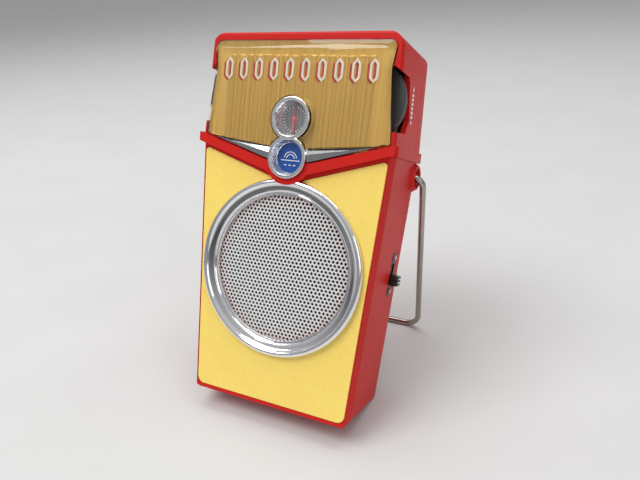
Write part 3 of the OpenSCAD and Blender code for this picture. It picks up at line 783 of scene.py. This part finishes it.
first = -(ribs["count"] - 1) / 2 * ribs["pitch"]
ribPiece = repeated(unitPiece("gold_ribs", ribUnit(), finishes["gold_foil"]), lineTree,
                    {"Count": ribs["count"], "Step": (ribs["pitch"], 0, 0)}, (first, ribs["front"], 0))
finishPiece(ribPiece, "case")
sheetOutline = headOutline(0.5, 0.5)
goldPiece = lofted("gold_sheet", [(sheetOutline, ribs["front"]), (sheetOutline, ribs["front"] + 0.8)],
                   finishes["gold_foil"])
carved(goldPiece, ringPlugs(6.1, -1, 4))
finishPiece(goldPiece, "case", ["gold_plate"])
coverPiece = lofted("cover_lens", [(headOutline(head["sideBevel"], head["topBevel"]), head["front"]),
                                   (headOutline(head["sideBevel"] * 0.86, head["topBevel"] * 0.9),
                                    head["front"] + 0.06),
                                   (headOutline(0.12, 0.3), -0.75), (headOutline(), -0.5),
                                   (headOutline(), head["back"])],
                    finishes["clear_plastic"], 24)
carved(coverPiece, ringPlugs(ring["outer"] + 0.6, -6, 6), 24)
finishPiece(coverPiece, "case", ["clear_cover"])

# A row of plain upright links on the cover's back, each with a red shadow on the gold
links = {"count": 10, "pitch": 6.0, "width": 3.0, "height": 7.8, "z": 118.4, "stroke": 0.78, "depth": 0.12, "y": 0.22,
         "shadowX": -0.9, "shadowZ": -0.35}


def linkUnit():
    # a flat six-sided loop
    shape = bmesh.new()
    loops = []
    for inset in (0, links["stroke"]):
        w, h = links["width"] / 2 - inset, links["height"] / 2 - inset
        corners = [(0, -h), (w, -h * 0.58), (w, h * 0.58), (0, h), (-w, h * 0.58), (-w, -h * 0.58)]
        outline = roundCorners(corners, [0.3] * 6, 4)
        loops.append([[shape.verts.new((x, y, z)) for x, z in outline] for y in (0, links["depth"])])
    (outFront, outBack), (inFront, inBack) = loops
    count = len(outFront)
    for i in range(count):
        k = (i + 1) % count
        for ringPair in ((outFront, inFront), (inBack, outBack), (outBack, outFront), (inFront, inBack)):
            near, far = ringPair
            shape.faces.new((near[i], near[k], far[k], far[i]))
    return shape


firstLink = -(links["count"] - 1) / 2 * links["pitch"]
for name, material, slot, shift, replaced in (
        ("link_row", glowingLinkWhite, "white_paint", (0, 0, 0), ["cover_ornaments"]),
        ("link_shadows", finishes["red_enamel"], "red_enamel", (links["shadowX"], 0.3, links["shadowZ"]), [])):
    row = repeated(unitPiece(name, linkUnit(), material), lineTree,
                   {"Count": links["count"], "Step": (links["pitch"], 0, 0)},
                   (firstLink + shift[0], links["y"] + shift[1], links["z"] + shift[2]))
    finishPiece(row, "case", replaced)
print("gold plate and cover made")


# Figure-8 ring trim with wings
def ringProfile(deep, outer, inner):
    front = ring["front"]
    return ([(outer, deep), (outer, front + 0.5)] + arcPoints((outer - 0.3, front + 0.34), 0.3, 0, -90, 5)
            + arcPoints((inner + 0.2, front + 0.2), 0.2, -90, -180, 4) + [(inner, front + 0.5), (inner + 0.1, deep)])


def wellProfile(deep, bottom):
    # the cone inside a ring, beaten bright, with a fillet where it meets the bottom
    inner = ring["inner"]
    return [(inner + 0.02, ring["front"] + 0.35), (inner - 0.35, ring["front"] + 1.0), (bottom + 0.25, deep - 0.35),
            (bottom, deep), (inner + 0.05, deep), (inner + 0.05, ring["front"] + 0.5)]


dial = {"ticks": 24, "tickIn": 3.7, "tickOut": 4.6, "tickWide": 0.2, "face": 0.58, "faceBack": 1.65, "faceOuter": 6.0,
        "faceHole": 1.05, "hand": 4.7, "handWide": 0.8}
dialRing, badgeRing = (
    turned(name, ringProfile(deep, ring["outer"], ring["inner"]), (0, z), finishes["chrome"])
    for name, deep, z in (("dial_ring", 0.85, ring["dialZ"]), ("badge_ring", -2.15, ring["badgeZ"])))


def wings():
    shape = bmesh.new()
    for s in (-1, 1):
        tip, top, ridge, low = [shape.verts.new((s * x, y, z)) for x, y, z in (
            (31, -1.3, 94.65), (5.2, -1.4, 92.2), (5.2, -2.75, 89.9), (5.2, -1.4, 87.3))]
        deep = [shape.verts.new((vert.co.x, 0, vert.co.z)) for vert in (tip, top, low)]
        front = (tip, top, low)
        for face in ((tip, top, ridge), (tip, ridge, low), (top, low, ridge), deep):
            shape.faces.new(face)
        for a, b in ((0, 1), (1, 2), (2, 0)):
            shape.faces.new((front[a], front[b], deep[b], deep[a]))
    pair = fromBmesh("wing_pair", shape, finishes["chrome"], angle=10)
    pair.data.materials.append(paintedDarkChrome)
    # facets facing down and forward take the dark copy, a painted reflection
    for facet in pair.data.polygons:
        if facet.normal.dot(zAxis) < -0.2 and facet.normal.dot(yAxis) < -0.3:
            facet.material_index = 1
    return carved(pair, [plug(6.6, -6, 6, (0, ring["badgeZ"]))], 10)


wingPair = wings()
trim = joined("figure_eight_trim", [dialRing, badgeRing])
finishPiece(trim, "case", ["ring_trim"])
finishPiece(wingPair, "case")
dialWell = turned("dial_well", wellProfile(dial["face"], 5.0), (0, ring["dialZ"]), crinkled, 72)
badgeWell = turned("badge_well", wellProfile(0.35, 5.1), (0, ring["badgeZ"]), crinkled, 72)
wells = joined("beaten_wells", [dialWell, badgeWell])
finishPiece(wells, "case")

# Dial with fine ticks and a red hand
facePiece = turned("dial_plate", [(dial["faceHole"], dial["face"]), (dial["faceOuter"], dial["face"]),
                                  (dial["faceOuter"], dial["faceBack"]), (dial["faceHole"], dial["faceBack"])],
                   (0, ring["dialZ"]), finishes["dial_silver"], 72)
finishPiece(facePiece, "case", ["dial_face"])
tick = bmesh.new()
bar(tick, (0, 0, (dial["tickIn"] + dial["tickOut"]) / 2), (dial["tickWide"], 0.06, dial["tickOut"] - dial["tickIn"]))
ticks = repeated(unitPiece("dial_ticks", tick, finishes["white_paint"]), ringTree, {"Count": dial["ticks"]},
                 (0, dial["face"] - 0.02, ring["dialZ"]))
finishPiece(ticks, "case")


def handPiece():
    shape = bmesh.new()
    w, reach, z = dial["handWide"] / 2, dial["hand"], ring["dialZ"]
    outline = [(-w * 0.55, -reach), (w * 0.55, -reach), (w, -0.9), (w, 0.9), (w * 0.35, reach), (-w * 0.35, reach),
               (-w, 0.9), (-w, -0.9)]
    front = [shape.verts.new((x, 0.18, z + up)) for x, up in outline]
    rear = [shape.verts.new((x, 0.5, z + up)) for x, up in outline]
    spine = [shape.verts.new((0, 0.02, z - reach * 0.9)), shape.verts.new((0, 0.02, z + reach * 0.9))]
    for i in range(len(outline)):
        k = (i + 1) % len(outline)
        shape.faces.new((front[i], front[k], rear[k], rear[i]))
    shape.faces.new(rear)
    shape.faces.new((front[0], spine[0], front[1]))
    shape.faces.new((front[4], spine[1], front[5]))
    shape.faces.new((front[1], spine[0], spine[1], front[4], front[3], front[2]))
    shape.faces.new((front[5], spine[1], spine[0], front[0], front[7], front[6]))
    bmesh.ops.triangulate(shape, faces=[face for face in shape.faces if len(face.verts) > 4])
    hand = fromBmesh("hand_blade", shape, finishes["red_enamel"], angle=15)
    hub = turned("hand_hub", [(0, -0.12), (0.55, -0.1), (0.8, 0.05), (0.8, 0.78), (0, 0.78)],
                 (0, ring["dialZ"]), finishes["red_enamel"], 32)
    return joined("dial_hand", [hand, hub])


finishPiece(handPiece(), "pointer", ["dial_pointer"])

# Badge device: a line, a low arc over it and three dots under it
device = {"y": 0.4, "lineZ": -0.9, "lineWide": 7.2, "stroke": 0.26, "dots": 3, "dotStep": 1.7, "dotZ": -2.5}


def devicePiece():
    shape = bmesh.new()
    bar(shape, (0, device["y"] - 0.02, ring["badgeZ"] + device["lineZ"]), (device["lineWide"], 0.1, device["stroke"]))
    for i in range(device["dots"]):
        x = (i - (device["dots"] - 1) / 2) * device["dotStep"]
        bar(shape, (x, device["y"] - 0.02, ring["badgeZ"] + device["dotZ"]), (0.9, 0.1, 0.3))
    for reach in (1.5, 2.4):
        centre = (0, ring["badgeZ"] + device["lineZ"] + 0.5)
        arcs = [arcPoints(centre, reach + way * device["stroke"] / 2, 10, 170, 16) for way in (-1, 1)]
        rows = [[shape.verts.new((x, y, z)) for x, z in line]
                for line in arcs for y in (device["y"] - 0.07, device["y"] + 0.03)]
        inFront, inBack, outFront, outBack = rows
        for near, far in ((inFront, outFront), (outFront, outBack), (outBack, inBack), (inBack, inFront)):
            for i in range(16):
                shape.faces.new((near[i], near[i + 1], far[i + 1], far[i]))
        for i in (0, 16):
            shape.faces.new((inFront[i], outFront[i], outBack[i], inBack[i]))
    return fromBmesh("badge_device", shape, finishes["white_paint"])


finishPiece(devicePiece(), "case")
print("ring trim, dial and badge made")


# Thumbwheels with knurled rims
wheel = {"radius": 13.9, "x": 23.0, "z": 109.7, "front": 4.2, "thick": 2.8, "grooves": 96}


def toothUnit():
    # a rounded ridge across the wheel's rim
    shape = bmesh.new()
    low, high = wheel["radius"] - 0.5, wheel["radius"] + 0.12
    half = math.pi * wheel["radius"] / wheel["grooves"] * 0.62
    outline = [(-half, low), (-half * 0.75, high - 0.16), (-half * 0.3, high), (half * 0.3, high),
               (half * 0.75, high - 0.16), (half, low)]
    front = [shape.verts.new((x, 0.3, z)) for x, z in outline]
    rear = [shape.verts.new((x, wheel["thick"] - 0.3, z)) for x, z in outline]
    for i in range(len(outline)):
        k = (i + 1) % len(outline)
        shape.faces.new((front[i], front[k], rear[k], rear[i]))
    shape.faces.new(front)
    shape.faces.new(rear)
    return shape


for way, body, node in ((1, "tuning", "tuning_wheel"), (-1, "volume", "volume_wheel")):
    teeth = repeated(unitPiece(body + "_knurl", toothUnit(), finishes["wheel_plastic"]), ringTree,
                     {"Count": wheel["grooves"]}, (way * wheel["x"], wheel["front"], wheel["z"]))
    finishPiece(teeth, body)
    finishPiece(softened(body + "_disc", node, 0.25, 2), body, [node])
print("thumbwheels made")


# Plain white marks by the tuning thumbwheel: a row of dashes between two arrowheads
marks = {"count": 6, "pitch": 1.45, "z": 110.2, "y": 15.2, "long": 0.9, "wide": 1.7, "thick": 0.1,
         "waistX": 36.7, "waistZ": 93.9, "topX": 35.6, "topZ": 131}


def markUnit():
    shape = bmesh.new()
    bar(shape, (0, 0, 0), (marks["thick"], marks["wide"], marks["long"]))
    return shape


def sideX(z):                            # half width of the case above the waist
    along = (z - marks["waistZ"]) / (marks["topZ"] - marks["waistZ"])
    return marks["waistX"] + (marks["topX"] - marks["waistX"]) * along


def markRow():
    slope = (sideX(marks["z"] + 10) - sideX(marks["z"])) / 10
    start = marks["z"] - (marks["count"] - 1) / 2 * marks["pitch"]
    dashes = repeated(unitPiece("mark_dashes", markUnit(), finishes["white_paint"]), lineTree,
                      {"Count": marks["count"], "Step": (slope * marks["pitch"], 0, marks["pitch"])},
                      (sideX(start), marks["y"], start))
    shape = bmesh.new()
    for way in (-1, 1):
        base = marks["z"] + way * (marks["count"] / 2 * marks["pitch"] + 0.6)
        corners = [(marks["y"] - 0.8, base), (marks["y"] + 0.8, base), (marks["y"], base + way * 1.5)]
        outer = [shape.verts.new((sideX(z) + marks["thick"] / 2, y, z)) for y, z in corners]
        inner = [shape.verts.new((sideX(z) - marks["thick"] / 2, y, z)) for y, z in corners]
        shape.faces.new(outer)
        shape.faces.new(inner)
        for i in range(3):
            k = (i + 1) % 3
            shape.faces.new((outer[i], outer[k], inner[k], inner[i]))
    return joined("wheel_marks", [dashes, fromBmesh("mark_arrows", shape, finishes["white_paint"])])


finishPiece(markRow(), "case")


# Small fittings: the CAD shapes with their edges eased
for node, body, width in (("switch_plate", "case", 0.12), ("switch_knob", "switch", 0.2), ("bail_bushes", "case", 0.15),
                          ("earphone_jack", "case", 0.12), ("case_screws", "case", 0.12)):
    slot = slots[node]
    finishPiece(softened(node + "_eased", node, width, 2), body, [node])
print("fittings made")


# Stand wire, smooth all round
wire = {"radius": 1.2, "pin": 1.15, "pinIn": 28.8, "pinOut": 35.2, "hingeX": 39.8, "footX": 34.0, "length": 79.8,
        "bends": (3.8, 6.4), "sides": 28}


def standWire():
    low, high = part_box("bail")
    footPlace = toUpright(((low.x + high.x) / 2, high.y - wire["radius"] / 1000, low.z + wire["radius"] / 1000))
    hinge = toUpright(joints["bail_hinge"]["pos_m"])
    down = (Vector((0, footPlace.y, footPlace.z)) - Vector((0, hinge.y, hinge.z))).normalized()
    flat = [(wire["pinOut"], 0), (wire["hingeX"], 0), (wire["footX"], wire["length"]), (-wire["footX"], wire["length"]),
            (-wire["hingeX"], 0), (-wire["pinOut"], 0)]
    bends = [0, wire["bends"][0], wire["bends"][1], wire["bends"][1], wire["bends"][0], 0]
    path = roundCorners(flat, bends, 12)
    points = [Vector((x, hinge.y, hinge.z)) + down * along for x, along in path]
    across = Vector((1, 0, 0)).cross(down)
    shape = bmesh.new()
    rings = []
    pinStart = [(Vector((wire["pinIn"], hinge.y, hinge.z)), wire["pin"]), (points[0], wire["pin"])]
    pinEnd = [(points[-1], wire["pin"]), (Vector((-wire["pinIn"], hinge.y, hinge.z)), wire["pin"])]
    stations = pinStart + [(point, wire["radius"]) for point in points] + pinEnd
    for i, (point, radius) in enumerate(stations):
        ahead = stations[min(i + 1, len(stations) - 1)][0]
        behind = stations[max(i - 1, 0)][0]
        along = (ahead - behind).normalized()
        out = across.cross(along)
        rings.append([shape.verts.new(point + out * radius * math.cos(2 * math.pi * k / wire["sides"])
                                      + across * radius * math.sin(2 * math.pi * k / wire["sides"]))
                      for k in range(wire["sides"])])
    for near, far in zip(rings, rings[1:]):
        for k in range(wire["sides"]):
            n = (k + 1) % wire["sides"]
            shape.faces.new((near[k], near[n], far[n], far[k]))
    shape.faces.new(rings[0])
    shape.faces.new(rings[-1])
    return fromBmesh("stand_wire", shape, finishes["nickel_wire"], angle=60)


finishPiece(standWire(), "bail", ["bail"])
print("stand made")


# Floor and light
studio = {"floor": 60.0, "key": 13.0, "fill": 2.5, "top": 7.0, "world": 0.55}
floorFinish = Finish("floor_paper", (0.60, 0.60, 0.595), 0.7)
floorFinish.shades(floorFinish.noise(0.02, 3), 0.98, 1.02)
floorFinish.bump(floorFinish.noise(0.8, 4), 0.02, 0.3)
bpy.ops.mesh.primitive_plane_add(size=studio["floor"])
floor = bpy.context.object
floor.name = "floor"
floor.data.materials.append(floorFinish.material)


def softbox(name, place, target, size, power):
    data = bpy.data.lights.new(name, "AREA")
    data.shape = "RECTANGLE"
    data.size, data.size_y = size
    data.energy = power
    light = bpy.data.objects.new(name, data)
    bpy.context.collection.objects.link(light)
    light.location = place
    light.rotation_mode = "QUATERNION"
    light.rotation_quaternion = (Vector(target) - Vector(place)).to_track_quat("-Z", "Y")


middle = (0, 0, 0.06)
softbox("key_light", (-0.55, -0.55, 1.35), middle, (0.8, 0.8), studio["key"])
softbox("fill_light", (1.2, -0.6, 0.7), middle, (0.8, 0.8), studio["fill"])
softbox("top_light", (0.0, 0.3, 1.3), middle, (1.2, 0.6), studio["top"])
world = bpy.data.worlds.new("studio")
world.use_nodes = True
worldNodes, worldLinks = world.node_tree.nodes, world.node_tree.links
height = worldNodes.new("ShaderNodeSeparateXYZ")
worldLinks.new(worldNodes.new("ShaderNodeTexCoord").outputs["Generated"], height.inputs[0])
sky = worldNodes.new("ShaderNodeValToRGB")
sky.color_ramp.elements[0].position, sky.color_ramp.elements[0].color = 0.05, (0.42, 0.43, 0.45, 1)
sky.color_ramp.elements[1].position, sky.color_ramp.elements[1].color = 0.80, (1.0, 1.0, 1.0, 1)
worldLinks.new(height.outputs["Z"], sky.inputs["Fac"])
worldLinks.new(sky.outputs["Color"], worldNodes["Background"].inputs["Color"])
worldNodes["Background"].inputs["Strength"].default_value = studio["world"]
bpy.context.scene.world = world
bpy.context.scene.view_settings.view_transform = "Standard"
print("studio made")
